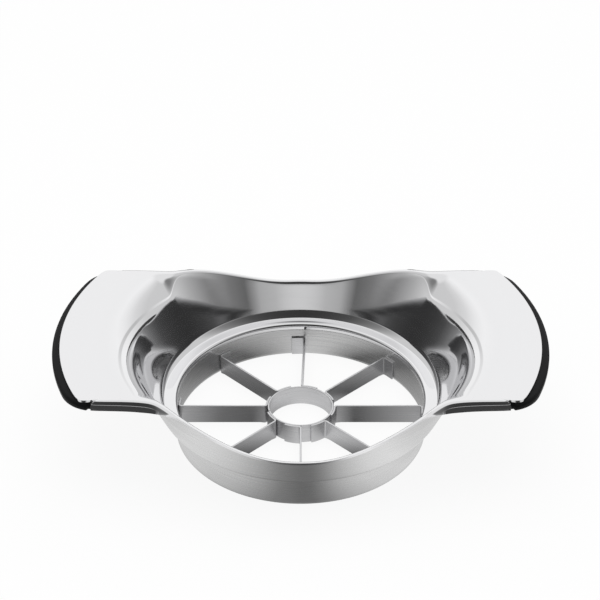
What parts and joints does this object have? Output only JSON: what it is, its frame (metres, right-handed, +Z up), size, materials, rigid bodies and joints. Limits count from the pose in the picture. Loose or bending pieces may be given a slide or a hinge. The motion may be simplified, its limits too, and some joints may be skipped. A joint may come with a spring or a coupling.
{
  "type": "apple slicer",
  "caption": "Push-down apple slicer: pressed steel bowl with two wings, cutting ring, radial blades, core ring and moulded grips.",
  "frame": {"origin": "middle of the cutting ring's lower edge, on the board", "axes": "+Z up, X along the two wings, +Y to the back"},
  "size_m": [0.1756, 0.1144, 0.0409],
  "materials": {
    "polished_steel": "polished stainless steel",
    "satin_ring": "satin",
    "satin_blade": "satin, ground edge",
    "grip_plastic": "smooth black"
  },
  "bodies": {
    "root": {"shell": "polished_steel", "cutting_ring": "satin_ring", "core_ring": "satin_blade", "blade_front": "satin_blade", "blade_front_right": "satin_blade", "blade_right": "satin_blade", "blade_back_right": "satin_blade", "blade_back": "satin_blade", "blade_back_left": "satin_blade", "blade_left": "satin_blade", "blade_front_left": "satin_blade", "grip_left": "grip_plastic", "grip_right": "grip_plastic"}
  },
  "joints": []
}
